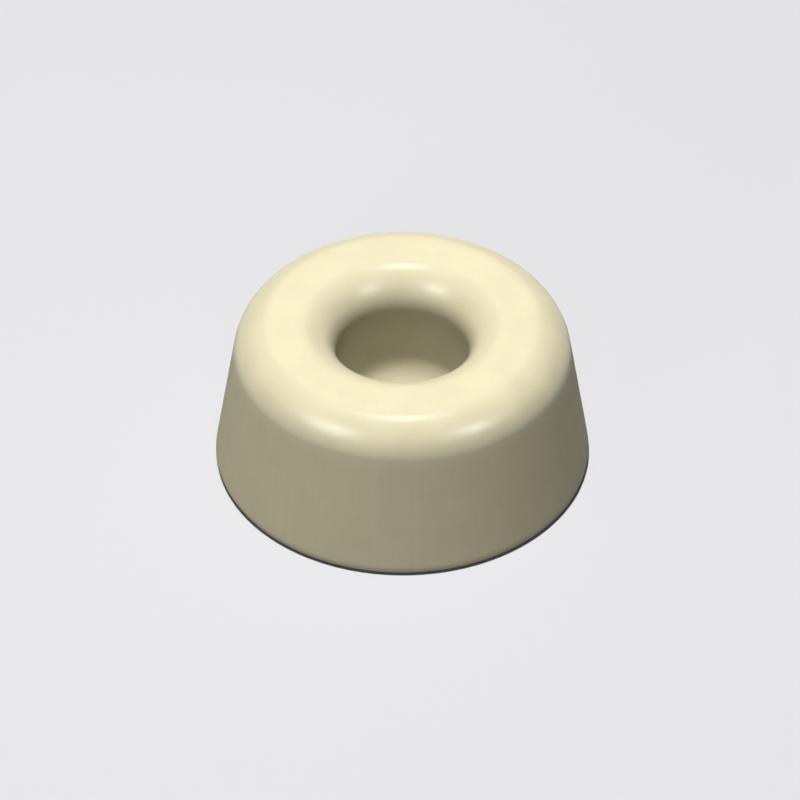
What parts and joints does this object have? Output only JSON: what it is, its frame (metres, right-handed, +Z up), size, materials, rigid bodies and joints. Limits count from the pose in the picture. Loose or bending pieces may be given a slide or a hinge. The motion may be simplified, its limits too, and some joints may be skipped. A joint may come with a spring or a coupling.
{
  "type": "anti-vibration pad",
  "caption": "Round tapered rubber pad with a rounded crown and a deep blind pocket in its top, which takes the foot of a small machine.",
  "frame": {"origin": "centre of the flat base that stands on the bench", "axes": "+Z up along the pad's axis of revolution and out of the pocket; X and Y lie in the base plane and are alike"},
  "size_m": [0.0222, 0.0222, 0.0099],
  "materials": {
    "moulded_rubber": "cream moulded rubber with a soft satin sheen"
  },
  "bodies": {
    "root": {"pad": "moulded_rubber"}
  },
  "joints": []
}
